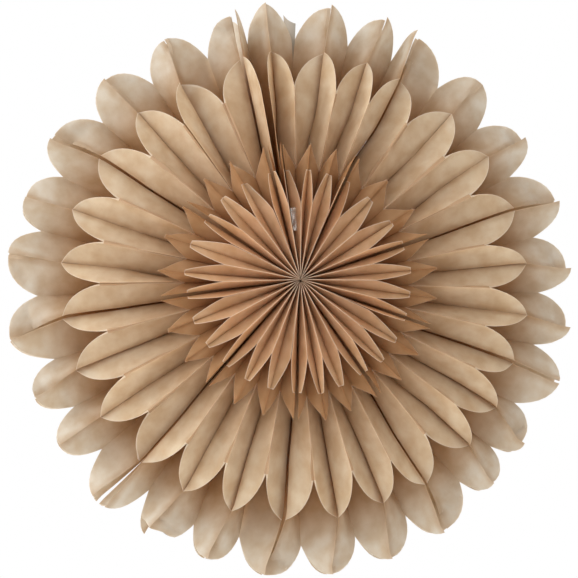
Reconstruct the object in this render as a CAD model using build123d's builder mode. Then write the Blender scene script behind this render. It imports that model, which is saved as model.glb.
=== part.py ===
from build123d import *
import os
from math import hypot, radians, sin, sqrt

# Paper star: one die cut leaf, folded in a zigzag, repeated in a ring round the axis.
# Lengths are in millimetres and angles in degrees. The star hangs upright: its axis runs
# along Y, its front looks along -Y, and azimuths turn from +X towards +Z.

# Paper and fold
paper = 0.2             # thickness of one leaf
hub_gap = 0.03          # room that a leaf keeps at its inner edge
rim_depth = 5.0         # depth that the widest petal keeps between notch and crease at its tip

# Cut of a leaf, as radii: each tier starts at a notch and ends in a petal tip
rosette_notch = 58.5    # end of the foremost folds
rosette_point = 28.5    # from there to the blunt tips of the rosette
diamond_point = 21.0    # how far the shaded diamonds stand out past those tips
second_reach = 66.0     # from the rosette's tips to the notches of the second tier
second_point = 32.5     # from those notches to the second tier's tips
outer_reach = 47.0      # from the second tier's notches to the outer notches
outer_point = 25.0      # from there to the rounded ends of the outer petals
worn_loss = 5.0         # how far one outer petal is torn off in front

# Fan: the leaves were spread by hand in groups, so the groups differ in width.
# From each azimuth, a number of leaves is spread evenly to the next one.
closing_azimuth = 89.7  # notch at the top, where the two ends of the fan are joined
fan_azimuths = (19.3, 62.6, closing_azimuth, 96.0, 101.8, 146.0, 188.5, 228.0, 266.0, 304.5, 340.3)
leaf_counts = (6, 5, 1, 2, 6, 6, 6, 6, 6, 6, 6)
full_turn = 360.0
seam_open_share = 0.18  # part of its angle by which a leaf's front stands back from a seam
worn_petal = 17         # the torn petal, counted round the fan from the first mark

# Paper tab that bridges the two end leaves behind the closing notch
tab_depth = 5.0         # how far behind the middle plane it sits
tab_length = 60.0
tab_slope = 7.0         # drop of its rounded end towards the right
tab_round = 1.2         # rise of that rounded end
tab_gap = 1.3           # glue line between the edges of the tab and the leaves beside it

# Clear tape across the first crease past the closing notch, low between two front panels
tape_start = 39.0       # radius of its inner end
tape_length = 18.0
tape_thickness = 0.05
tape_gap = 0.6          # glue line between its edges and the leaves
tape_height_share = 0.45

# A leaf has eight panels between nine fold lines, counted from the front. Even lines lie in its
# notch plane, odd ones in its crease plane, and the middle line lies in the star's middle plane.
# Widths of the panels from the front to the middle, as shares of the fold pitch
panel_width_shares = (0.45, 0.55, 0.88, 1.0)
middle_line = len(panel_width_shares)
last_line = 2 * middle_line

# Points along the cut of a petal, as shares of the way from its notch to its crease
petal_cut_shares = (0.12, 0.3, 0.55, 0.8)
# From this share on, the rosette's tips are cut blunt
blunt_share = 0.62

# Radii that follow from the cut
rosette_tip = rosette_notch + rosette_point
diamond_tip = rosette_tip + diamond_point
second_notch = rosette_tip + second_reach
second_tip = second_notch + second_point
outer_notch = second_notch + outer_reach
outer_tip = outer_notch + outer_point


def leaf_planes():
    """Notch azimuth, crease azimuth and seam opening of each leaf."""
    ends = fan_azimuths[1:] + (fan_azimuths[0] + full_turn,)
    planes = []
    for start, end, count in zip(fan_azimuths, ends, leaf_counts):
        planes += [start + (end - start) * step / count for step in range(count)]
    planes.append(ends[-1])
    leaves = []
    for number, (start, end) in enumerate(zip(planes, planes[1:])):
        crease, notch = (start, end) if number % 2 == 0 else (end, start)
        at_seam = crease in fan_azimuths + ends
        leaves.append((notch, crease, (notch - crease) * seam_open_share * at_seam))
    return leaves


leaf_angles = leaf_planes()
widest = max(abs(crease - notch) for notch, crease, opening in leaf_angles)


def chord(radius, angle):
    """Straight distance between two planes through the axis, at one radius."""
    return 2 * radius * sin(radians(angle) / 2)


# On the flat leaf the widest panels are one fold pitch wide, which opens the widest petal to rim_depth.
fold_pitch = hypot(rim_depth, chord(outer_tip, widest))


def hub_radius(notch, crease, opening):
    """Radius at which a leaf stops short of the axis, where it has just room for its paper."""
    return (paper + hub_gap) / chord(1, abs(crease + opening - notch))


def panel_width(panel):
    """Width of a front panel on the flat leaf."""
    return panel_width_shares[panel] * fold_pitch


def panel_depth(panel, radius, angle):
    """Depth of a folded front panel, from one fold line to the next."""
    return sqrt(panel_width(panel) ** 2 - chord(radius, angle) ** 2)


def petal_cut(notch_radius, tip_radius):
    """Points along the rounded cut of a petal: share of the way to the crease, and radius."""
    bulges = [1 - (1 - share) ** 2 * sqrt(1 - share) for share in petal_cut_shares]
    return [(share, notch_radius + (tip_radius - notch_radius) * bulge)
            for share, bulge in zip(petal_cut_shares, bulges)]


def panel_strips(inner_end, petal_end):
    """For each panel of the front half: points on its notch side, then on its crease side.

    A point is its share of the way from notch to crease and its radius. The cut of the petal
    continues the notch side. Past its end, the outer petal is torn off.
    """
    outer_cut = [point for point in petal_cut(outer_notch, outer_tip) if point[1] < petal_end]
    front = (inner_end, rosette_notch, rosette_tip)
    inner = (inner_end, rosette_tip, second_notch)
    return (
        ([(0, inner_end), (0, rosette_notch), (blunt_share, rosette_tip)],
         [(1, radius) for radius in front]),
        ([(0, inner_end), (0, rosette_tip)],
         [(1, radius) for radius in front + (diamond_tip,)]),
        ([(0, radius) for radius in inner] + petal_cut(second_notch, second_tip),
         [(1, radius) for radius in inner + (second_tip,)]),
        ([(0, radius) for radius in inner + (outer_notch,)] + outer_cut,
         [(1, radius) for radius in inner + (second_tip, petal_end)]),
    )


def strip_facets(first, second):
    """Flat triangles between two rows of points, taken in order of radius."""
    facets = []
    i = j = 0
    while i + 1 < len(first) or j + 1 < len(second):
        at_end = j + 1 == len(second)
        if at_end or (i + 1 < len(first) and first[i + 1][1] <= second[j + 1][1]):
            facets.append((first[i], first[i + 1], second[j]))
            i += 1
        else:
            facets.append((first[i], second[j + 1], second[j]))
            j += 1
    return facets


def half_leaf(inner_end, petal_end):
    """Front half of the die cut leaf, laid flat: triangles of (fold line, radius) points."""
    facets = []
    for panel, (notch_side, crease_side) in enumerate(panel_strips(inner_end, petal_end)):
        if panel % 2 == 0:
            first = [(panel + share, radius) for share, radius in notch_side]
            second = [(panel + share, radius) for share, radius in crease_side]
        else:
            first = [(panel + 1 - share, radius) for share, radius in crease_side]
            second = [(panel + 1 - share, radius) for share, radius in notch_side]
        facets += strip_facets(first, second)
    return facets


def flat_leaf(inner_end, petal_end):
    """The whole leaf, laid flat. The front petal stops at its end and the back one is whole."""
    back = [tuple((last_line - line, radius) for line, radius in reversed(facet))
            for facet in half_leaf(inner_end, outer_tip)]
    return half_leaf(inner_end, petal_end) + back


def edge_of(facets):
    """Edges that belong to one facet alone: the cut edge of the leaf."""
    edges = [(a, b) for facet in facets for a, b in zip(facet, facet[1:] + facet[:1])]
    sides = set(edges)
    return [(a, b) for a, b in edges if (b, a) not in sides]


def plane_point(azimuth, radius):
    """Point of the middle plane."""
    return Vector(radius, 0, 0).rotate(Axis.Y, -azimuth)


def folded(notch, crease, opening, line, radius):
    """Both surfaces of the paper at a point of a leaf: its notch side, then its crease side."""
    share = 1 - abs(1 - line % 2)
    from_end = min(line, last_line - line)
    panel = min(int(from_end), middle_line - 1)
    depths = [panel_depth(step, radius, abs(crease - notch)) for step in range(panel, middle_line)]
    depth = sum(depths) - depths[0] * (from_end - panel)
    across = (plane_point(crease, radius) - plane_point(notch, radius)).normalized()
    wall = across * (paper * panel_width(panel) / depths[0])
    # A seam opens towards the front and is closed from the middle line on.
    fold_azimuth = crease + opening * max(0, 1 - line / middle_line)
    near = plane_point(notch, radius) * (1 - share)
    near += (plane_point(fold_azimuth, radius) - wall) * share
    near += Vector(0, depth if line > middle_line else -depth, 0)
    return near, near + wall


class FoldedLeaf(BasePartObject):
    """One leaf, folded in a zigzag between its notch plane and its crease plane.

    Its notch folds touch the one plane and its crease folds the other, so two neighbours meet
    along their folds and never cross.
    """

    def __init__(self, planes, facets, mode=Mode.ADD):
        points = {point for facet in facets for point in facet}
        paper_at = {point: folded(*planes, *point) for point in points}
        skin = []
        for facet in facets:
            skin.append([paper_at[point][0] for point in facet])
            skin.append([paper_at[point][1] for point in reversed(facet)])
        for start, end in edge_of(facets):
            skin.append([*reversed(paper_at[end]), *paper_at[start]])
        faces = [Face(Wire.make_polygon(corners)) for corners in skin]
        super().__init__(Solid(Shell(faces)), mode=mode)


os.makedirs("parts", exist_ok=True)

# Leaves
for number, planes in enumerate(leaf_angles, start=1):
    petal_end = outer_tip - worn_loss if number // 2 == worn_petal else outer_tip
    with BuildPart() as leaf:
        FoldedLeaf(planes, flat_leaf(hub_radius(*planes), petal_end))
    leaf.part.label = f"leaf_{number:02d}"
    export_step(leaf.part, f"parts/{leaf.part.label}.step")

# Closing tab: its edges follow the rear panels of the two end leaves
right_leaf, left_leaf = [planes for planes in leaf_angles if planes[0] == closing_azimuth]


def tab_corner(planes, radius):
    """Point beside the rear panel of an end leaf, at the depth of the tab."""
    notch, crease, _ = planes
    line = middle_line + tab_depth / panel_depth(middle_line - 1, radius, abs(crease - notch))
    edge = folded(*planes, line, radius)[0]
    inward = (plane_point(closing_azimuth, radius) + Vector(0, tab_depth, 0) - edge).normalized()
    edge += inward * tab_gap
    return edge.X, edge.Z


with BuildPart() as closing_tab:
    with BuildSketch(Plane.XZ.offset(-tab_depth)):
        with BuildLine():
            foot_radius = outer_tip - tab_length
            foot = Line(tab_corner(right_leaf, foot_radius), tab_corner(left_leaf, foot_radius))
            left_edge = Line(foot @ 1, tab_corner(left_leaf, outer_tip))
            right_edge = Line(foot @ 0, tab_corner(right_leaf, outer_tip - tab_slope))
            SagittaArc(right_edge @ 1, left_edge @ 1, tab_round)
        make_face()
    extrude(amount=-paper)
closing_tab.part.label = "closing_tab"
export_step(closing_tab.part, "parts/closing_tab.step")

# Closing tape: a flat strip across the crease beside the left end leaf
tape_leaves = [planes for planes in leaf_angles if planes[1] == left_leaf[1]]
tape_ends = (tape_start, tape_start + tape_length)
tape_rows = [[folded(*planes, tape_height_share, radius)[1] for radius in tape_ends]
             for planes in tape_leaves]
(inner_right, outer_right), (inner_left, outer_left) = tape_rows
tape_out = outer_right - inner_right
tape_plane = Plane(inner_right, x_dir=tape_out, z_dir=tape_out.cross(inner_left - inner_right))
with BuildPart() as closing_tape:
    with BuildSketch(tape_plane):
        with BuildLine():
            inner = tape_plane.to_local_coords(inner_left)
            outer = tape_plane.to_local_coords(outer_left)
            Polyline(
                (0, tape_gap), (tape_out.length, tape_gap),
                (outer.X, outer.Y - tape_gap), (inner.X, inner.Y - tape_gap), close=True,
            )
        make_face()
    extrude(amount=tape_thickness)
closing_tape.part.label = "closing_tape"
export_step(closing_tape.part, "parts/closing_tape.step")
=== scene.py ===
# %% [markdown]
# # A fold-out paper star
# The real star is a stack of equal paper leaves. Each was cut to one outline, folded in a zigzag and glued
# to its neighbours along the folds, in turn on the one side and on the other. Spread through a full turn,
# the folds open into three tiers of petals. It could be modelled petal by petal, but then every petal would
# have to be fitted to its neighbours. Here it is made the way the real one is: one flat sheet, one rule
# that folds it, and a loop that folds it once for each leaf.

# %% Load the measured frame
import math

import bpy
import numpy as np
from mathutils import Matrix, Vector


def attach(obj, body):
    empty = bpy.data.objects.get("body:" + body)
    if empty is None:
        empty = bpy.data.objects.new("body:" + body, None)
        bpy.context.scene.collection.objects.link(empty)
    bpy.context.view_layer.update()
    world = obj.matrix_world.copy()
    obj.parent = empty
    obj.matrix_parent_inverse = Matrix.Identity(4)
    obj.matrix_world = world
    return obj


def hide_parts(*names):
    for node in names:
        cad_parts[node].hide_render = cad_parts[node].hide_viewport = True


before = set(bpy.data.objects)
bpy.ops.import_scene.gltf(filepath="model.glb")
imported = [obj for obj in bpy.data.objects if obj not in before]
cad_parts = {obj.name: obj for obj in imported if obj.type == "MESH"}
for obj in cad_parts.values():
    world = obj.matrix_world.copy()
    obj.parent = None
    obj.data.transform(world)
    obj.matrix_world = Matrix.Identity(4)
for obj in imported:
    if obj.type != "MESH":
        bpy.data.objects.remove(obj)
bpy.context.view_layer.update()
MM = 0.001
LEAVES = sum(name.startswith("leaf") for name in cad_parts)
print("leaves in the frame:", LEAVES)

# %% [markdown]
# ## Helpers
# Materials and Geometry Nodes are trees: nodes are added and their sockets are linked. One function does
# both, for every tree in this lesson. Colours are written as they look on screen, in hex, and a second
# function turns them into the linear light values that shaders work with. Two more start an empty tree and
# put a new object into the scene.

# %% Helpers
MATH = "ShaderNodeMath"
VECTOR = "ShaderNodeVectorMath"
SEPARATE = "ShaderNodeSeparateXYZ"
MAP_RANGE = "ShaderNodeMapRange"
NOISE = "ShaderNodeTexNoise"
MIX = "ShaderNodeMix"  # its sockets are 0, 2 and 3 for numbers, and 0, 6 and 7 for colours


def node(tree, kind, inputs=(), **settings):
    """Add a node. Inputs go by order or by name: a node or socket is linked, a value is set."""
    made = tree.nodes.new(kind)
    for name, value in settings.items():
        setattr(made, name, value)
    for key, value in inputs.items() if isinstance(inputs, dict) else enumerate(inputs):
        if isinstance(value, bpy.types.Node):
            value = value.outputs[0]
        if isinstance(value, bpy.types.NodeSocket):
            tree.links.new(value, made.inputs[key])
        else:
            made.inputs[key].default_value = value
    return made


def linear(hex_colour):
    """Linear RGBA of an sRGB colour such as #C8B5A0."""
    channels = [int(hex_colour[i:i + 2], 16) / 255 for i in (1, 3, 5)]
    return (*((c / 12.92 if c <= 0.04045 else ((c + 0.055) / 1.055) ** 2.4) for c in channels), 1.0)


def empty_tree(owner):
    """The node tree of a material or a world, with nothing in it yet."""
    owner.use_nodes = True
    owner.node_tree.nodes.clear()
    return owner.node_tree


def add_object(name, data):
    """A new object at the origin, for a mesh, a lamp or a camera."""
    made = bpy.data.objects.new(name, data)
    bpy.context.scene.collection.objects.link(made)
    return made


print("mid grey in linear light:", round(linear("#808080")[0], 3))

# %% [markdown]
# ## The cut of a leaf
# Laid flat, a leaf has eight panels between nine fold lines. Along the lines runs the radius, from the hub
# outwards, and each panel is cut off at its own radius. On the real star one die cuts the whole stack. That
# cut makes the blunt rosette tips, the shaded diamonds behind them, the pointed second petals and the round
# outer ones, so these few radii shape the whole star. The back half repeats the front.

# %% Sizes of the cut
HUB = 0.4 * MM
ROSETTE_NOTCH = 58.5 * MM
ROSETTE_TIP = 87 * MM
DIAMOND_TIP = 108 * MM
SECOND_NOTCH = 153 * MM
SECOND_TIP = 185.5 * MM
OUTER_NOTCH = 200 * MM
OUTER_TIP = 225 * MM
BLUNT_FROM = 0.76       # share of the rosette panel at which its slanted cut turns level
SECOND_STRAIGHT = 0.35  # share of the second petal's cut that is a straight slant; the rest is a curve
PETAL_POWER = 2.5       # roundness of the outer petals
WIDTH_SHARES = (0.45, 0.55, 0.88, 1.0)
MIDDLE_LINE = len(WIDTH_SHARES)
PANELS = 2 * MIDDLE_LINE


def cut_radius(panel, share):
    """Radius of the cut on a front panel, where share runs from its notch line to its crease line."""
    from_crease = 1 - share
    if panel == 0:
        return ROSETTE_NOTCH + (ROSETTE_TIP - ROSETTE_NOTCH) * min(share / BLUNT_FROM, 1)
    if panel == 1:
        return ROSETTE_TIP + (DIAMOND_TIP - ROSETTE_TIP) * share
    if panel == 2:
        drop = SECOND_STRAIGHT * from_crease + (1 - SECOND_STRAIGHT) * from_crease ** 3
        return SECOND_TIP - (SECOND_TIP - SECOND_NOTCH) * drop
    return OUTER_TIP - (OUTER_TIP - OUTER_NOTCH) * from_crease ** PETAL_POWER


print("cut at the crease of each panel, mm:", [round(cut_radius(k, 1) / MM, 1) for k in range(MIDDLE_LINE)])

# %% [markdown]
# ## Where the leaves stand
# A leaf fills the wedge between two upright planes through the star's axis: a notch plane, where two petals
# meet, and a crease plane, which runs through the middle of a petal. The planes could be typed in again,
# but the solids of the frame already stand between them. The lowest and the highest azimuth of a solid's
# points are the two planes, so the paper stays where the solids are. The widest wedge also tells how wide a
# panel is: at the rim of that leaf the paper lies almost flat.

# %% Planes of each leaf
RIM_DEPTH = 5 * MM


def leaf_planes(number):
    """Notch and crease azimuth of a leaf, in radians, read from its solid's two sides."""
    points = np.array([vertex.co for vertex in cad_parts[f"leaf_{number:02d}"].data.vertices])
    middle = math.atan2(points[:, 2].mean(), points[:, 0].mean())
    turn = np.arctan2(points[:, 2], points[:, 0]) - middle
    turn = (turn + math.pi) % (2 * math.pi) - math.pi
    low, high = middle + turn.min(), middle + turn.max()
    return (high, low) if number % 2 else (low, high)


planes = {number: leaf_planes(number) for number in range(1, LEAVES + 1)}
widest = max(abs(crease - notch) for notch, crease in planes.values())
FOLD_PITCH = math.hypot(RIM_DEPTH, 2 * OUTER_TIP * math.sin(widest / 2))
print(f"widest leaf {math.degrees(widest):.1f} degrees, fold pitch {FOLD_PITCH / MM:.1f} mm")

# %% [markdown]
# ## The flat sheet
# A leaf could be one flat polygon, but that can't bend. So the sheet is a grid: columns run along the
# radius, rows run across, and the last rows follow the cut. Both panels share the points on a fold line, so
# that the paper holds together there. The columns of the outer panel crowd towards its notch, where the
# round cut is steepest.

# %% Grid of a sheet
COLUMNS = 9
SECTIONS = ((HUB, 10), (ROSETTE_NOTCH, 6), (ROSETTE_TIP, 4), (DIAMOND_TIP, 8), (SECOND_NOTCH, 7),
            (SECOND_TIP, 4), (OUTER_NOTCH, 0))  # start of each stretch of the radius, and its rows
FULL_TO = (ROSETTE_NOTCH, ROSETTE_TIP, SECOND_NOTCH, OUTER_NOTCH)  # a panel's rows are level up to here
CUT_ROWS = (6, 4, 7, 8)                                            # and from here follow its cut


def level_rows(limit):
    """Radii of the grid's level rows, from the hub to a limit."""
    rows = [HUB]
    for (start, count), (end, _) in zip(SECTIONS, SECTIONS[1:]):
        if end <= limit + MM / 10:
            rows += [start + (end - start) * step / count for step in range(1, count + 1)]
    return rows


def panel_columns(panel, cut, points):
    """Columns of a panel, each a list of point numbers. New points are added with line and radius."""
    front = min(panel, PANELS - 1 - panel)
    full, count = FULL_TO[front], CUT_ROWS[front]
    columns = []
    for step in range(COLUMNS + 1):
        share = step / COLUMNS
        if front == MIDDLE_LINE - 1:
            share = 1 - math.cos(math.pi / 2 * share)
        line = panel + (share if panel % 2 == 0 else 1 - share)
        limit = cut(front, share)
        radii = level_rows(full) + [full + (limit - full) * k / count for k in range(1, count + 1)]
        columns.append([points.setdefault((round(line, 6), round(radius, 7)), len(points))
                        for radius in radii])
    return columns[::-1] if panel % 2 else columns


def sheet_grid(front_cut, back_cut):
    """The grid's points, as fold line and radius, and the faces between them."""
    points, faces = {}, []
    for panel in range(PANELS):
        columns = panel_columns(panel, front_cut if panel < MIDDLE_LINE else back_cut, points)
        for left, right in zip(columns, columns[1:]):
            for k in range(len(left) - 1):
                corners = list(dict.fromkeys((left[k], right[k], right[k + 1], left[k + 1])))
                if len(corners) > 2:
                    faces.append(corners)
    return list(points), faces


print("points of the grid:", len(sheet_grid(cut_radius, cut_radius)[0]))

# %% [markdown]
# ## From grid to paper
# Real paper has a thickness and a rim, so the grid is laid down twice, 0.2 mm apart, and closed along its
# rim. Solidify could do that too, but after it the fold rule couldn't tell the two sides apart so simply.
# The mesh also carries what later steps ask for: each point's fold line, its distance from the cut for the
# pale edge there, partly fibre and partly painted highlight, the edges that stay sharp, and a map of the
# flat sheet for the paper's pattern. Creases are glued to the next leaf and show no rim, so they don't count
# as a cut.

# %% Sheet as a mesh
PAPER = 0.2 * MM


def across_sheet(line):
    """Distance of a fold line from the front edge of the flat sheet."""
    widths = WIDTH_SHARES + WIDTH_SHARES[::-1]
    return FOLD_PITCH * sum(width * min(max(line - panel, 0), 1) for panel, width in enumerate(widths))


def distance_from(edges, flat):
    """Distance of each point of the flat sheet from the nearest of these edges."""
    starts, ends = flat[[a for a, _ in edges]], flat[[b for _, b in edges]]
    along = ends - starts
    reach = ((flat[:, None] - starts) * along).sum(2) / (along ** 2).sum(1)
    nearest = starts + along * np.clip(reach, 0, 1)[..., None]
    return np.linalg.norm(flat[:, None] - nearest, axis=2).min(1)


def flat_sheet(name, front_cut=cut_radius, back_cut=cut_radius):
    """A closed, flat leaf of real thickness: X across the folds, Y along the radius."""
    points, faces = sheet_grid(front_cut, back_cut)
    flat = np.array([(across_sheet(line), radius) for line, radius in points])
    lines = np.array([line for line, _ in points])
    count = len(flat)
    edges = [(a, b) for face in faces for a, b in zip(face, face[1:] + face[:1])]
    sides = set(edges)
    rim = [(a, b) for a, b in edges if (b, a) not in sides]
    shell = [face[::-1] for face in faces] + [[i + count for i in face] for face in faces]
    shell += [[a, b, b + count, a + count] for a, b in rim]
    mesh = bpy.data.meshes.new(name)
    mesh.from_pydata([(x, y, z) for z in (0, PAPER) for x, y in flat], [], shell)
    mesh.polygons.foreach_set("use_smooth", [True] * len(shell))
    cuts = [(a, b) for a, b in rim if lines[a] != lines[b] or lines[a] % 2 != 1]
    for label, values in (("fold_line", lines), ("cut_distance", distance_from(cuts, flat))):
        mesh.attributes.new(label, "FLOAT", "POINT").data.foreach_set("value", np.tile(values, 2))
    rim_edges = {frozenset(edge) for edge in rim}
    sharp = []
    for edge in mesh.edges:
        a, b = (vertex % count for vertex in edge.vertices)
        on_fold = lines[a] == lines[b] and lines[a] % 1 == 0
        sharp.append(bool(on_fold or frozenset((a, b)) in rim_edges))
    mesh.attributes.new("sharp_edge", "BOOLEAN", "EDGE").data.foreach_set("value", sharp)
    corners = np.array([loop.vertex_index for loop in mesh.loops]) % count
    mesh.uv_layers.new(name="sheet").data.foreach_set("uv", flat[corners].ravel())
    return mesh


whole_sheet = flat_sheet("whole_sheet")
print("faces of a leaf:", len(whole_sheet.polygons))

# %% [markdown]
# ## The torn petal
# One outer petal at the lower left lost the end of its front lip, and on its right half the lip behind is
# torn too. A tear could be cut out of the folded leaf with a boolean. It is simpler on the flat sheet,
# where a tear is just another cut: the petal's two leaves get sheets of their own, whose outer panels stop
# at a ragged line. Two waves that never fall into step make it ragged.

# %% Sheets of the torn petal
RAGS = ((0.5, 31, 0), (0.35, 67, 1))  # height in millimetres, pace and start of each wave


def torn_cut(end, slope):
    """A cut that is torn off along a ragged line near the end of the outer petal."""
    def cut(panel, share):
        whole = cut_radius(panel, share)
        if panel < MIDDLE_LINE - 1:
            return whole
        ragged = sum(height * math.sin(pace * share + start) for height, pace, start in RAGS)
        return min(whole, end - (slope * (1 - share) + ragged) * MM)
    return cut


torn_sheets = {34: flat_sheet("torn_sheet_left", torn_cut(219.5 * MM, 0.5)),
               35: flat_sheet("torn_sheet_right", torn_cut(219 * MM, 1.5), torn_cut(218 * MM, 1.5))}
print("torn leaves:", list(torn_sheets))

# %% [markdown]
# ## How unevenly the fan was opened
# Hands opened this fan, so its folds don't stand evenly. Noise alone could blur an even fan, but it would
# put the wide and narrow petals in the wrong places. So the tables say for each plane of folds how far it is
# turned in the rosette, the second tier and the outer tier, in degrees, and how far it slipped outwards, in
# millimetres, against the even fan of the solids. Even places are creases and odd ones notches.

# %% Turns and slips of each plane
TURNS = {
    "rosette": (
        0.5, -2.1, -1.2, -0.2, 1.1, 2.3, 2.6, -0.6, 0.7, 2, 0.7, -0.6, 1.1, 0.1,
        1.5, 0.8, 2.6, 1.2, 0.7, 1, -0.7, -0.6, 0.5, 1.5, 1.6, 0.4, -1.4, -2,
        -0.9, 0.1, 0.4, 1.9, 0.7, 2, 1.9, 2.2, 2.1, 3.9, 3.3, 3.1, 2.9, 0.9,
        0.9, 0.7, 1.5, 1.1, 0.5, 1, 1, 2.9, 1.5, 0.4, 0.8, 0.5, 0.2, 0.1),
    "second": (
        0.8, 0.9, 0.7, 0, -0.3, 0.1, 0.1, 0.1, -1.6, -0.4, -1.8, 0.6, -0.5, 1.3,
        0.8, 2, 2.5, 0.9, 0.4, -0.1, 0, 1.3, 0.7, 0.5, -0.1, -1.4, -0.9, -0.8,
        -0.7, 0.3, -0.5, -0.2, 1.2, 1.5, 1.4, 1.5, 1.5, 1.5, 2.1, 2.8, 2.5, 1.6,
        1.4, 0.3, 0.1, 1, 2.3, 1.1, 1.9, 1.1, 1.8, 1.5, 0.6, -0.2, 0.2, -0.5),
    "outer": (
        -0.3, 1.1, -0.3, 0, -0.3, -1.3, 1.2, -1.6, -2.6, -2.1, -2.1, -0.5, -0.3, 0.9,
        0.3, 0.4, 0.6, -0.1, 0.7, -0.2, 1.8, 0.8, 1.5, -0.1, -0.9, 0.3, 1.9, 1.6,
        1.6, 0.5, -0.5, -1, 0, 0.6, -1.4, 0.6, -0.7, -1.6, -1.2, -0.1, -0.9, -0.5,
        -1.4, -0.9, -1.8, 1.2, -0.4, 0, -2, -0.6, 0.8, 1, -1.1, 0.2, -1.7, 0),
}
SLIPS = {
    "rosette": (
        0.4, -1.2, 0.7, 0.4, 0.4, -0.4, 1.9, 0.9, 0.8, 1.5, 0.8, 1.4, 0.8, 0.8,
        0.7, 0.2, 0.6, 0.3, 1, -0.1, -0.7, 0.7, 1.6, 0.6, 1.8, 0.5, -0.2, 0.9,
        -0.3, 1.7, -1, 1.4, -1.5, 1, -0.8, 1.9, -1.3, 1.9, -0.7, 1.8, 1.7, 2.3,
        0.3, 2, -0.3, 2.4, 2.9, 2.9, 2, 0.2, 1, 0.6, 1.1, 1.1, 2, 0.7),
    "second": (
        4.8, 4, 5.6, 4, 5.6, 4, 3.2, 1.3, 5.1, 2.9, 5, 3.4, 3.8, 2.7,
        2.7, 1.9, 0.7, 0.5, 0.2, -1.5, -1.1, 0.5, -0.5, 0.7, -1.7, 0.3, -2.5, -1.4,
        -2.1, -1.3, -2.2, -1.1, -3.6, -2.3, -3.1, -3.4, -2.5, -3, -2.3, 0.8, -1.1, -0.9,
        -1.4, 3, 1.7, 1.6, 2.1, 2.6, 2.3, 2.8, 0.1, 0, 3.5, 0.9, 3.5, 1.7),
    "outer": (
        2.5, 1.3, 0.3, 1.4, 2.8, 4, 5.8, 4, 6, 4, 5.1, 4, 4.4, 2.2,
        1.8, -1.7, -0.9, -1.6, -0.7, 0.8, 0.6, 2.7, -1.8, 4, 1.3, 1.4, 1.6, -4.3,
        -4.4, -4.3, -3.4, -3.5, 2.8, -4.6, 0.5, 2, -1.4, 0.4, 2.5, 3.4, 3.1, 2.6,
        2.7, 1.5, 2.4, 4, -3, 3.1, -3.8, 1.3, 1.7, 0.9, -0.8, 0.6, -0.9, 2),
}
TIERS = tuple(TURNS)
print("planes in each tier:", [len(turns) for turns in TURNS.values()])

# %% [markdown]
# ## Where the leaves part
# Two leaves at one plane normally share its turn. They part in a few places, and each has a small table of
# its own. The seams are where one group of leaves ends and the next begins: there the petal is split by a
# slit that opens towards the front. At some planes the tip of the outer petal gapes as well, or, with a
# minus sign, the slit is shut again there. At the closing notch the two leaves stand apart near the rim, so
# that the tab between them shows. Four leaves leave their plane in one tier only.

# %% Seams, tips and tab
SEAMS = (0, 6, 12, 14, 20, 26, 32, 38, 44, 50)
SEAM_OPENING = 0.18  # share of the leaf's own angle
TIP_OPENINGS = {6: 0.3, 10: -0.1, 12: -0.27, 20: 0.5, 32: 0.9, 44: 0.5}  # crease plane: degrees
TAB_OPENINGS = {11: -0.7, 12: 0.9}                                      # leaf: degrees
OWN_TURNS = {
    (13, "Notch", "second"): -0.9, (14, "Notch", "second"): 1.5,
    (32, "Crease", "outer"): -0.35, (33, "Crease", "outer"): 0.35,
}
print("seams between groups:", len(SEAMS))

# %% [markdown]
# ## The fold rule
# Each leaf is folded between its two planes: even fold lines touch the notch plane and odd ones the crease
# plane. Paper doesn't stretch, so where the planes stand further apart, the fold lines come closer together
# in depth. All leaves follow this rule, so it is one Geometry Nodes tree: it reads where a point lies on the
# flat sheet and sets its place in space. A cloth simulation could fold the paper too, but it would be slow,
# and glued neighbours would drift apart. Here both leaves beside a plane read the same values and so meet.

# %% Inputs of the fold tree
fold = bpy.data.node_groups.new("fold_a_leaf", "GeometryNodeTree")
PLANE_NAMES = ("Notch", "Crease")
PLANE_INPUTS = [f"{plane} {what} {tier}"
                for plane in PLANE_NAMES for what in ("azimuth", "slip") for tier in TIERS]
LEAF_INPUTS = ["Notch seed", "Crease seed", "Leaf", "Fold pitch", "Paper", "Seam opening", "Tip opening",
               "Tab opening", "Unevenness", "Lift", "Roundness"]
INPUTS = {"Sheet": "NodeSocketGeometry", "Finish": "NodeSocketMaterial"}
INPUTS.update(dict.fromkeys(PLANE_INPUTS + LEAF_INPUTS, "NodeSocketFloat"))
sockets = {
    name: fold.interface.new_socket(name=name, in_out="INPUT", socket_type=kind)
    for name, kind in INPUTS.items()
}
fold.interface.new_socket(name="Leaf", in_out="OUTPUT", socket_type="NodeSocketGeometry")
given = node(fold, "NodeGroupInput").outputs
print("inputs of the fold tree:", len(sockets))

# %% [markdown]
# ## Reading the sheet
# The tree first asks where a point lies: how far out along the radius, on which side of the paper, and on
# or between which fold lines. A point's number could tell that too, but it changes with the grid, so the
# sheet carries the fold line as an attribute.

# %% Where a point lies on the sheet
position = node(fold, "GeometryNodeInputPosition")
_, radius, height = node(fold, SEPARATE, [position]).outputs
line = node(fold, "GeometryNodeInputNamedAttribute", {"Name": "fold_line"}, data_type="FLOAT")
from_back = node(fold, MATH, [float(PANELS), line], operation="SUBTRACT")
from_end = node(fold, MATH, [line, from_back], operation="MINIMUM")
share = node(fold, MATH, [line, 1.0], operation="PINGPONG")  # 0 on a notch line, 1 on a crease line
print("nodes that read the sheet:", len(fold.nodes) - 1)

# %% [markdown]
# ## From tier to tier
# A plane stands a little differently in each tier, and paper goes over smoothly from one to the next. Along
# a notch plane the tiers follow each other from fold line to fold line. Along a crease plane they follow
# each other along the radius: smoothly behind the rosette, and in a straight line past the second petals,
# because the creases of the outer petals are straight.

# %% Shares of the tiers
SECOND_FROM, SECOND_BY = 95 * MM, 145 * MM
OUTER_FROM, OUTER_BY = 183 * MM, 218 * MM


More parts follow.
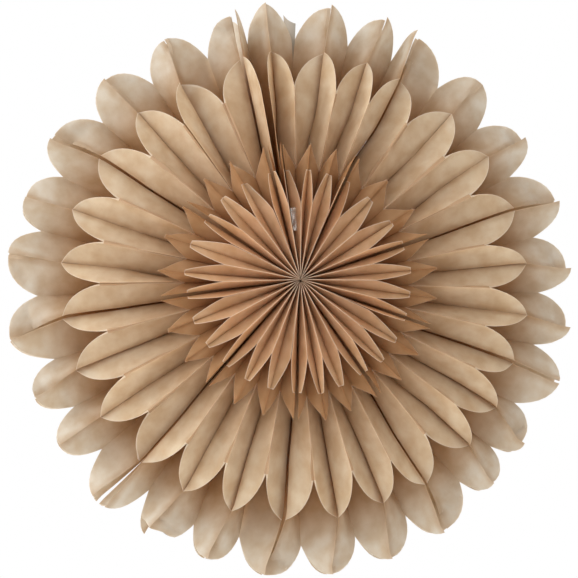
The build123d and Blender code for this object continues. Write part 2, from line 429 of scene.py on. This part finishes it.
def gone_over(value, start, end, way="SMOOTHSTEP"):
    """How far a point has gone over from one tier to the next."""
    return node(fold, MAP_RANGE, {"Value": value, "From Min": start, "From Max": end},
                interpolation_type=way)


def by_tier(plane, what):
    """A value of a plane that changes from tier to tier."""
    mixed = given[f"{plane} {what} {TIERS[0]}"]
    for amount, tier in zip(over[plane], TIERS[1:]):
        mixed = node(fold, MIX, {0: amount, 2: mixed, 3: given[f"{plane} {what} {tier}"]})
    return mixed


near_rim = gone_over(radius, OUTER_FROM, OUTER_BY, "LINEAR")
over = {"Notch": (gone_over(from_end, 0.0, 2.0), gone_over(from_end, 2.0, 4.0)),
        "Crease": (gone_over(radius, SECOND_FROM, SECOND_BY), near_rim)}
print("tiers that go over:", " to ".join(TIERS))

# %% [markdown]
# ## The two planes of a leaf
# Now each plane gets its direction at every point: the turn of its tier, a slow noise for the last
# unevenness, and the openings. A seam is widest at the front and closed from the middle line on, a tip gapes
# in the front half of the leaf only, and the notch of the tab opens towards the rim. A second channel of the
# noise lifts the folds a little to the front or the back.

# %% Directions of the planes
WAVE = 70 * MM
NOISE_MIDDLE = 0.5
in_front_half = node(fold, MATH, [line, float(MIDDLE_LINE)], operation="LESS_THAN")
tip_share = node(fold, MATH, [near_rim, in_front_half], operation="MULTIPLY")
seam_share = node(fold, MAP_RANGE, {"Value": line, "From Max": float(MIDDLE_LINE),
                                    "To Min": 1.0, "To Max": 0.0})
OPENINGS = {"Notch": ((near_rim, "Tab opening"),),
            "Crease": ((seam_share, "Seam opening"), (tip_share, "Tip opening"))}
directions, slips, lifts = {}, {}, {}
for plane in PLANE_NAMES:
    noise = node(fold, NOISE, {
        "Vector": position, "W": given[plane + " seed"], "Scale": 1 / WAVE, "Detail": 1.0},
        noise_dimensions="4D")
    swing = node(fold, MATH, [noise, NOISE_MIDDLE], operation="SUBTRACT")
    azimuth = node(fold, MATH, [swing, given["Unevenness"], by_tier(plane, "azimuth")],
                   operation="MULTIPLY_ADD")
    for amount, opening in OPENINGS[plane]:
        azimuth = node(fold, MATH, [amount, given[opening], azimuth], operation="MULTIPLY_ADD")
    directions[plane] = node(fold, "ShaderNodeCombineXYZ", [
        node(fold, MATH, [azimuth], operation="COSINE"), 0.0,
        node(fold, MATH, [azimuth], operation="SINE")])
    slips[plane] = by_tier(plane, "slip")
    _, second_channel, _ = node(fold, SEPARATE, [noise.outputs["Color"]]).outputs
    lifts[plane] = node(fold, MATH, [second_channel, NOISE_MIDDLE], operation="SUBTRACT")
print("nodes up to the planes:", len(fold.nodes))

# %% [markdown]
# ## Depth of the folds
# Seen along the radius, a panel is the long side of a right triangle: the chord between the two planes is
# one short side and its depth the other. The depths of the panels add up from the middle line outwards.
# Paper that would have to stretch keeps a least depth. The slant, panel width over depth, tells how much
# room the paper's thickness takes along the chord.

# %% Depth
LEAST_DEPTH = 2 * MM
step = node(fold, VECTOR, [directions["Crease"], directions["Notch"]], operation="SUBTRACT")
across = node(fold, VECTOR, [step], operation="NORMALIZE")
unit_chord = node(fold, VECTOR, [step], operation="LENGTH").outputs["Value"]
chord = node(fold, MATH, [radius, unit_chord], operation="MULTIPLY")
chord_square = node(fold, MATH, [chord, chord], operation="MULTIPLY")
depth = slant = 0.0
for panel, width_share in enumerate(WIDTH_SHARES):
    width = node(fold, MATH, [given["Fold pitch"], width_share], operation="MULTIPLY")
    width_square = node(fold, MATH, [width, width], operation="MULTIPLY")
    square = node(fold, MATH, [width_square, chord_square], operation="SUBTRACT")
    square = node(fold, MATH, [square, LEAST_DEPTH ** 2], operation="MAXIMUM")
    panel_depth = node(fold, MATH, [square], operation="SQRT")
    part = node(fold, MAP_RANGE, {"Value": from_end, "From Min": float(panel), "From Max": panel + 1.0,
                                  "To Min": 1.0, "To Max": 0.0})
    depth = node(fold, MATH, [part, panel_depth, depth], operation="MULTIPLY_ADD")
    panel_slant = node(fold, MATH, [width, panel_depth], operation="DIVIDE")
    in_panel = node(fold, MATH, [from_end, float(panel)], operation="GREATER_THAN")
    slant = node(fold, MIX, {0: in_panel, 2: slant, 3: panel_slant}) if panel else panel_slant
behind = node(fold, MATH, [line, float(MIDDLE_LINE)], operation="GREATER_THAN")
way = node(fold, MAP_RANGE, {"Value": behind, "To Min": -1.0, "To Max": 1.0})
lift = node(fold, MIX, {0: share, 2: lifts["Notch"], 3: lifts["Crease"]})
lift = node(fold, MATH, [lift, given["Lift"]], operation="MULTIPLY")
back = node(fold, MATH, [depth, way, lift], operation="MULTIPLY_ADD")
print("nodes up to the depth:", len(fold.nodes))

# %% [markdown]
# ## Across the leaf
# Across, a point starts on the notch plane and goes along the chord by its share of the panel. The two
# sides of the paper keep its thickness apart, and the outer side just touches the crease plane, where the
# next leaf is glued on. A little easing rounds the panels, because folded paper bulges between its folds.

# %% Place of a point
WALL_LIMIT = 0.9  # near the hub the paper fills no more than this share of the chord
wall = node(fold, MATH, [given["Paper"], slant], operation="MULTIPLY")
wall = node(fold, MATH, [wall, node(fold, MATH, [chord, WALL_LIMIT], operation="MULTIPLY")],
            operation="MINIMUM")
eased = node(fold, MAP_RANGE, {"Value": share}, interpolation_type="SMOOTHSTEP")
bulge = node(fold, MATH, [eased, share], operation="SUBTRACT")
bend = node(fold, MATH, [bulge, given["Roundness"], share], operation="MULTIPLY_ADD")
slip = node(fold, MIX, {0: share, 2: slips["Notch"], 3: slips["Crease"]})
slid = node(fold, MATH, [radius, slip], operation="ADD")
room = node(fold, MATH, [slid, unit_chord], operation="MULTIPLY")
room = node(fold, MATH, [room, wall], operation="SUBTRACT")
side = node(fold, MATH, [height, given["Paper"]], operation="DIVIDE")
side_wall = node(fold, MATH, [side, wall], operation="MULTIPLY")
reach = node(fold, MATH, [bend, room, side_wall], operation="MULTIPLY_ADD")
start = node(fold, VECTOR, {"Vector": directions["Notch"], "Scale": slid}, operation="SCALE")
sideways = node(fold, VECTOR, {"Vector": across, "Scale": reach}, operation="SCALE")
place = node(fold, VECTOR, [start, sideways], operation="ADD")
place = node(fold, VECTOR, [place, node(fold, "ShaderNodeCombineXYZ", [0.0, back, 0.0])], operation="ADD")
print("nodes up to the place:", len(fold.nodes))

# %% [markdown]
# ## The end of the tree
# The points move to their places. Every second leaf is folded the other way round, as a mirror image, and
# that would turn it inside out, so its faces are flipped. The leaf's number is stored for the paper's
# pattern, and the result gets its material.

# %% Finish the fold tree
bent = node(fold, "GeometryNodeSetPosition", {"Geometry": given["Sheet"], "Position": place})
mirrored = node(fold, "FunctionNodeCompare", [given[f"{plane} azimuth {TIERS[0]}"] for plane in PLANE_NAMES],
                data_type="FLOAT", operation="LESS_THAN")
turned = node(fold, "GeometryNodeFlipFaces", [bent, mirrored])
numbered = node(fold, "GeometryNodeStoreNamedAttribute", {
    "Geometry": turned, "Name": "leaf", "Value": given["Leaf"]}, data_type="FLOAT", domain="POINT")
solid = node(fold, "GeometryNodeRealizeInstances", [numbered])
dressed = node(fold, "GeometryNodeSetMaterial", {"Geometry": solid, "Material": given["Finish"]})
node(fold, "NodeGroupOutput", [dressed])
print("nodes in the fold tree:", len(fold.nodes))

# %% [markdown]
# ## The paper
# Sand-coloured craft paper, dyed in the pulp and left uncoated: matt, a little cloudy where the fibres lie
# unevenly, and thin enough to let light through. In the real star light passes through layer after layer of
# it, deeper in the folds ever more often, and comes out browner each time. A renderer follows light for a
# few passes only. So shade is painted into the colour: it deepens along the radius, from the paper's own
# pale colour at the rim to a painted warm shade at the hub.

# %% Colour along the radius
paper_stock = bpy.data.materials.new("sand_craft_paper")
tree = empty_tree(paper_stock)
# painted shade: the paper's own colour at the rim, warmer and deeper towards the hub
PAPER_WITH_PAINTED_SHADE = ((0, "#F2D3AF"), (62, "#EECBA3"), (88, "#E8CAA4"), (108, "#EBD1AE"), (140, "#F5E4C9"),
                 (170, "#F6E7CD"), (203, "#EDE5D7"), (225, "#ECE5D9"))  # radius in millimetres, colour
sheet_map = node(tree, "ShaderNodeUVMap", uv_map="sheet")
_, from_hub, _ = node(tree, SEPARATE, [sheet_map]).outputs
ramp = node(tree, "ShaderNodeValToRGB", [node(tree, MATH, [from_hub, OUTER_TIP], operation="DIVIDE")])
stops = ramp.color_ramp.elements
stops[0].color, stops[1].color = linear(PAPER_WITH_PAINTED_SHADE[0][1]), linear(PAPER_WITH_PAINTED_SHADE[-1][1])
for from_centre, hex_colour in PAPER_WITH_PAINTED_SHADE[1:-1]:
    stops.new(from_centre * MM / OUTER_TIP).color = linear(hex_colour)
print("stops from hub to rim:", len(stops))

# %% [markdown]
# ## What marks the paper: clouds, painted crease shade and pale edges
# Clouds of fibre make it uneven, and each leaf gets its own, because the leaf's number moves the noise.
# Towards a crease two layers are glued together and let less light through, so the colour darkens there:
# painted shade. A cut edge is drawn pale, partly its own fibre and partly a painted highlight where the edge
# catches the light: really it is as thin as the paper, and it is drawn wider here so that it shows. Painting
# all this on an image would need a picture for each leaf. Here every share is worked out from the sheet.

# %% Clouds, painted crease shade and cut edges
CLOUD_SIZE = 14 * MM
THIN, DENSE = 0.35, 0.65  # noise at which the paper is thinnest and densest
# painted shade towards each crease, where two glued layers let less light through
CREASE_SHADE_FROM, CREASE_SHADE_DARKENS = 0.72, 0.4
# pale cut edge: partly the paper's own fibre, partly a painted highlight where the edge catches the light
PALE_EDGE_FROM, PALE_EDGE_BY, PALE_EDGE_SHOWS = 0.1 * MM, 0.45 * MM, 0.55
fold_line, cut_distance, leaf_number = (
    node(tree, "ShaderNodeAttribute", attribute_name=name).outputs["Fac"]
    for name in ("fold_line", "cut_distance", "leaf"))
cloud = node(tree, NOISE, {"Vector": sheet_map, "W": leaf_number, "Scale": 1 / CLOUD_SIZE, "Detail": 4.0},
             noise_dimensions="4D")
cloud_share = node(tree, MAP_RANGE, {"Value": cloud, "From Min": THIN, "From Max": DENSE})
to_crease = node(tree, MATH, [fold_line, 1.0], operation="PINGPONG")
painted_crease_shade = node(tree, MAP_RANGE, {"Value": to_crease, "From Min": CREASE_SHADE_FROM, "To Max": CREASE_SHADE_DARKENS},
                  interpolation_type="SMOOTHSTEP")
edge_fibre_and_highlight = node(tree, MAP_RANGE, {"Value": cut_distance, "From Min": PALE_EDGE_FROM, "From Max": PALE_EDGE_BY,
                                     "To Min": PALE_EDGE_SHOWS, "To Max": 0.0})
print("nodes up to the cut edges:", len(tree.nodes))

# %% [markdown]
# ## Deep places
# The diamonds behind the rosette and the foot of the outer petals lie deep between other leaves, where
# only brown light arrives, so the paper is tinted there with painted shade. The diamond is the second panel
# of a leaf, and the foot is the part of the two middle panels that the second petals hide from the light.
# Then all tints are laid over the colour one after the other: most multiply it, and the pale edge covers it.

# %% Shade and the mixed colour
# the fourth colour is the pale edge, partly fibre and partly painted highlight
# the second colour is painted crease shade
CLOUD, CREASE_SHADE_COLOUR, SHADED, EDGE_FIBRE_AND_HIGHLIGHT = (linear(c) for c in ("#F0E6D8", "#DCC19C", "#DDC3A6", "#F8EEDF"))
DIAMOND_MIDDLE, DIAMOND_DARKENS = 1.5, 0.75
FOOT_FROM, FOOT_BY, FOOT_DARKENS = 165 * MM, 212 * MM, 0.9
from_front = node(tree, MATH, [fold_line, float(MIDDLE_LINE)], operation="PINGPONG")
in_diamond = node(tree, MATH, [from_front, DIAMOND_MIDDLE, 0.5], operation="COMPARE")
diamond_share = node(tree, MAP_RANGE, {"Value": in_diamond, "To Max": DIAMOND_DARKENS})
in_outer = node(tree, MATH, [fold_line, float(MIDDLE_LINE), 1.0], operation="COMPARE")
foot = node(tree, MAP_RANGE, {"Value": from_hub, "From Min": FOOT_FROM, "From Max": FOOT_BY,
                              "To Min": FOOT_DARKENS, "To Max": 0.0}, interpolation_type="SMOOTHSTEP")
foot_share = node(tree, MATH, [foot, in_outer], operation="MULTIPLY")
colour = ramp.outputs[0]
for amount, tint, blend in (
        (cloud_share, CLOUD, "MULTIPLY"), (painted_crease_shade, CREASE_SHADE_COLOUR, "MULTIPLY"), (edge_fibre_and_highlight, EDGE_FIBRE_AND_HIGHLIGHT, "MIX"),
        (diamond_share, SHADED, "MULTIPLY"), (foot_share, SHADED, "MULTIPLY")):
    colour = node(tree, MIX, {0: amount, 6: colour, 7: tint}, data_type="RGBA", blend_type=blend).outputs[2]
print("nodes of the paper's colour:", len(tree.nodes))

# %% [markdown]
# ## The paper's surface
# Uncoated paper is rough and hardly shines. Half of its light comes through from behind, which a
# translucent shader does: it makes the folds glow. The fine bump is the felt of fibres. Fibres are far
# thinner than a pixel here, so the grain is drawn as coarse as the clumps that they form.

# %% Surface of the paper
GRAIN = 1.2 * MM
GRAIN_HEIGHT = 0.1 * MM
GLOW_SHARE = 0.5
grain = node(tree, NOISE, {"Vector": sheet_map, "W": leaf_number, "Scale": 1 / GRAIN, "Detail": 3.0},
             noise_dimensions="4D")
bump = node(tree, "ShaderNodeBump", {"Strength": 0.15, "Distance": GRAIN_HEIGHT, "Height": grain})
surface = node(tree, "ShaderNodeBsdfPrincipled", {
    "Base Color": colour, "Roughness": 0.62, "Specular IOR Level": 0.3, "Normal": bump})
glow = node(tree, "ShaderNodeBsdfTranslucent", {"Color": colour})
node(tree, "ShaderNodeOutputMaterial", [
    node(tree, "ShaderNodeMixShader", {0: GLOW_SHARE, 1: surface, 2: glow})])
print("nodes of", paper_stock.name + ":", len(tree.nodes))

# %% [markdown]
# ## The leaves
# One object for each leaf: the flat sheet with the fold tree on it, told where its two planes stand. The
# evaluated result becomes a plain mesh and takes the place of the leaf's solid. A seed that belongs to
# the plane, not to the leaf, keeps the noise of both neighbours the same. The modifier knows its inputs by
# the identifier of each socket, not by its name, so the values are set that way.

# %% Fold every leaf
SEED_STEP = 3.7
UNEVENNESS = math.radians(0.8)
LIFT = 3 * MM
ROUNDNESS = 0.1


def fold_leaf(number, mesh):
    """Fold a flat sheet into the leaf of this number."""
    notch, crease = planes[number]
    before, after = (number - 1) % LEAVES, number % LEAVES
    notch_plane, crease_plane = (after, before) if number % 2 else (before, after)
    to_notch = math.copysign(1, notch - crease)
    values = {
        "Notch seed": notch_plane * SEED_STEP, "Crease seed": crease_plane * SEED_STEP,
        "Leaf": float(number), "Fold pitch": FOLD_PITCH, "Paper": PAPER, "Finish": paper_stock,
        "Unevenness": UNEVENNESS, "Lift": LIFT, "Roundness": ROUNDNESS,
        "Seam opening": SEAM_OPENING * (notch - crease) * (crease_plane in SEAMS),
        "Tip opening": math.radians(TIP_OPENINGS.get(crease_plane, 0)) * to_notch,
        "Tab opening": math.radians(TAB_OPENINGS.get(number, 0)),
    }
    for tier in TIERS:
        for name, azimuth, plane in (("Notch", notch, notch_plane), ("Crease", crease, crease_plane)):
            turn = OWN_TURNS.get((number, name, tier), TURNS[tier][plane])
            values[f"{name} azimuth {tier}"] = azimuth + math.radians(turn)
            values[f"{name} slip {tier}"] = SLIPS[tier][plane] * MM
    flat = add_object("flat", mesh)
    modifier = flat.modifiers.new("fold", "NODES")
    modifier.node_group = fold
    for name, value in values.items():
        modifier[sockets[name].identifier] = value
    evaluated = flat.evaluated_get(bpy.context.evaluated_depsgraph_get())
    folded = bpy.data.meshes.new_from_object(evaluated)
    bpy.data.objects.remove(flat)
    folded.name = f"leaf_{number:02d}_paper"
    piece = add_object(folded.name, folded)
    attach(piece, "root")
    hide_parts(f"leaf_{number:02d}")
    return piece


leaves = [fold_leaf(number, torn_sheets.get(number, whole_sheet)) for number in range(1, LEAVES + 1)]
print("triangles:", sum(len(face.vertices) - 2 for leaf in leaves for face in leaf.data.polygons))

# %% [markdown]
# ## The closing tab
# The fan's two ends are joined in the notch at the top. A narrow tab of stiffer card bridges them. It lies
# in shade, which is painted into its colour: grey, and darker towards its right edge, where a pressed line
# catches the light as a painted highlight. The solid has the right shape and keeps it, so only a material is
# needed, and the line is a stripe in it. Pressed card is matt and has the same felt of fibres as the paper.

# %% Card of the tab
# painted shade: the card greyed in shade and darker to the right; the pressed line is a painted highlight
CARD_IN_PAINTED_SHADE, CARD_DEEPER_SHADE, PRESSED_LINE_HIGHLIGHT = (linear(c) for c in ("#C6BBAC", "#A8A196", "#FFFBF2"))
SHADE_FROM = -2 * MM
PRESSED_AT = 6.4 * MM
PRESSED_HALF = 0.45 * MM
tab_card = bpy.data.materials.new("sand_card_painted_shade")
tree = empty_tree(tab_card)
spot = node(tree, "ShaderNodeTexCoord").outputs["Object"]
from_middle, _, _ = node(tree, SEPARATE, [spot]).outputs
shade = node(tree, MAP_RANGE, {"Value": from_middle, "From Min": SHADE_FROM, "From Max": PRESSED_AT})
card = node(tree, MIX, {0: shade, 6: CARD_IN_PAINTED_SHADE, 7: CARD_DEEPER_SHADE}, data_type="RGBA").outputs[2]
pressed_highlight = node(tree, MATH, [from_middle, PRESSED_AT, PRESSED_HALF], operation="COMPARE")
card = node(tree, MIX, {0: pressed_highlight, 6: card, 7: PRESSED_LINE_HIGHLIGHT}, data_type="RGBA").outputs[2]
grain = node(tree, NOISE, {"Vector": spot, "Scale": 1 / GRAIN, "Detail": 3.0})
bump = node(tree, "ShaderNodeBump", {"Strength": 0.15, "Distance": GRAIN_HEIGHT, "Height": grain})
surface = node(tree, "ShaderNodeBsdfPrincipled", {"Base Color": card, "Roughness": 0.6, "Normal": bump})
node(tree, "ShaderNodeOutputMaterial", [surface])
print("nodes of", tab_card.name + ":", len(tree.nodes))

# %% [markdown]
# ## The closing tape
# In the rosette a short strip of clear film holds the crease beside the notch. It hardly shows, but for its
# shine: smooth plastic that lies in fine wrinkles along the crease. Glass with refraction would be a lot of
# work for so thin a film, so it is see-through by its alpha, and its shine is painted: its wrinkles are more
# solid and whiter, a painted reflection.

# %% Film of the tape
WRINKLE = 1.5 * MM
WRINKLE_HEIGHT = 0.2 * MM
ALONG_CREASE = (1.0, 1.0, 0.2)
# where the film is more solid its white shows: a painted reflection of its shine
SMOOTH_FILM, SHINING_WRINKLES = (0.42, 0.1), (0.66, 0.75)  # noise, and how solid the film looks there
clear_film = bpy.data.materials.new("clear_tape_film")
tree = empty_tree(clear_film)
spot = node(tree, "ShaderNodeTexCoord").outputs["Object"]
drawn_out = node(tree, "ShaderNodeMapping", {"Vector": spot, "Scale": ALONG_CREASE})
wrinkle = node(tree, NOISE, {"Vector": drawn_out, "Scale": 1 / WRINKLE, "Detail": 2.0})
bump = node(tree, "ShaderNodeBump", {"Strength": 0.4, "Distance": WRINKLE_HEIGHT, "Height": wrinkle})
# painted reflection: the wrinkled film turns whiter and more solid
painted_shine = node(tree, MAP_RANGE, {
    "Value": wrinkle, "From Min": SMOOTH_FILM[0], "From Max": SHINING_WRINKLES[0],
    "To Min": SMOOTH_FILM[1], "To Max": SHINING_WRINKLES[1]})
film = node(tree, "ShaderNodeBsdfPrincipled", {
    "Base Color": linear("#F4F1EC"), "Roughness": 0.15, "Alpha": painted_shine, "Normal": bump})
node(tree, "ShaderNodeOutputMaterial", [film])
for name, finish in (("closing_tab", tab_card), ("closing_tape", clear_film)):
    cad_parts[name].data.materials.clear()
    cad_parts[name].data.materials.append(finish)
print("materials:", [material.name for material in bpy.data.materials])

# %% [markdown]
# ## Light
# The star hangs free in front of white, in soft light. Lamps alone would leave the deep folds black, so
# most of the light comes from the world, as in a white room. It leans: it is brighter on the left and a
# little brighter above, which models the folds softly. One weak window lamp helps it. Light Path tells
# apart the rays that only look at the room, from the camera, a gloss or the film: they find plain white.

# %% World and window
WHITE = (1, 1, 1, 1)
ROOM_LIGHT = 1.05
LIGHT_LEAN = (-0.42, 0.05, 0.15)
WINDOW_PLACE = (-1.8, -0.3, 0.9)
WINDOW_SIZE = 1.5
WINDOW_WATTS = 15.0
world = bpy.data.worlds.new("white_room")
bpy.context.scene.world = world
tree = empty_tree(world)
path = node(tree, "ShaderNodeLightPath").outputs
seen = node(tree, MATH, [path["Is Camera Ray"], path["Is Glossy Ray"]], operation="MAXIMUM")
seen = node(tree, MATH, [seen, path["Is Transmission Ray"]], operation="MAXIMUM")
ray = node(tree, "ShaderNodeTexCoord").outputs["Generated"]
lean = node(tree, VECTOR, [ray, LIGHT_LEAN], operation="DOT_PRODUCT").outputs["Value"]
strength = node(tree, MATH, [lean, ROOM_LIGHT], operation="ADD")
room_light = node(tree, "ShaderNodeBackground", {"Color": WHITE, "Strength": strength})
white_room = node(tree, "ShaderNodeBackground", {"Color": WHITE, "Strength": 1.0})
node(tree, "ShaderNodeOutputWorld", [
    node(tree, "ShaderNodeMixShader", {0: seen, 1: room_light, 2: white_room})])
window = add_object("window", bpy.data.lights.new("window", "AREA"))
window.data.energy = WINDOW_WATTS
window.data.size = WINDOW_SIZE
window.location = WINDOW_PLACE
window.rotation_euler = (-window.location).to_track_quat("-Z", "Y").to_euler()
print("light:", world.name, "and", window.name)

# %% [markdown]
# ## The floor
# A plain pale floor lies well below the star, out of the picture. From there it only throws some light
# back up, as a real one does.

# %% Floor
FLOOR_DROP = 0.6
FLOOR_HALF = 1.5
CORNERS = ((-1, -1), (1, -1), (1, 1), (-1, 1))
floor_mesh = bpy.data.meshes.new("floor")
floor_mesh.from_pydata([(x * FLOOR_HALF, y * FLOOR_HALF, -FLOOR_DROP) for x, y in CORNERS],
                       [], [range(len(CORNERS))])
floor = add_object("floor", floor_mesh)
floor_paint = bpy.data.materials.new("pale_floor")
tree = empty_tree(floor_paint)
paint = node(tree, "ShaderNodeBsdfPrincipled", {"Base Color": linear("#F4F3F1"), "Roughness": 0.8})
node(tree, "ShaderNodeOutputMaterial", [paint])
floor_mesh.materials.append(floor_paint)
print("floor at", -FLOOR_DROP, "m")

# %% [markdown]
# ## The camera
# The photo was taken from a little left of the star's axis and a little below it: the rosette, which stands
# well in front, is shifted to the right and up against the outer petals. The lens follows from the distance
# and from how many millimetres a pixel covers in the star's middle plane.

# %% Camera
DISTANCE = 2.2
LEFT, BELOW = math.radians(5.2), math.radians(5.8)
PICTURE = 578
PIXEL = 0.8 * MM
STAR_RIGHT, STAR_DOWN = 1.4, 1.4  # pixels from the middle of the picture
camera = add_object("camera", bpy.data.cameras.new("camera"))
camera.data.sensor_width = 36
camera.data.lens = camera.data.sensor_width * DISTANCE / (PICTURE * PIXEL)
view = Vector((math.sin(LEFT) * math.cos(BELOW), math.cos(LEFT) * math.cos(BELOW), math.sin(BELOW)))
turn = view.to_track_quat("-Z", "Y")
aim = turn @ Vector((-STAR_RIGHT * PIXEL, STAR_DOWN * PIXEL, 0))
camera.location = aim - view * DISTANCE
camera.rotation_euler = turn.to_euler()
bpy.context.scene.camera = camera
bpy.context.scene.view_settings.view_transform = "Standard"
print(f"lens {camera.data.lens:.0f} mm")

# %% [markdown]
# ## Finish
# Dressing the star must not change its size. The last line prints how many pieces of paper there are.

# %% Finish
print("pieces of paper:", len(leaves))
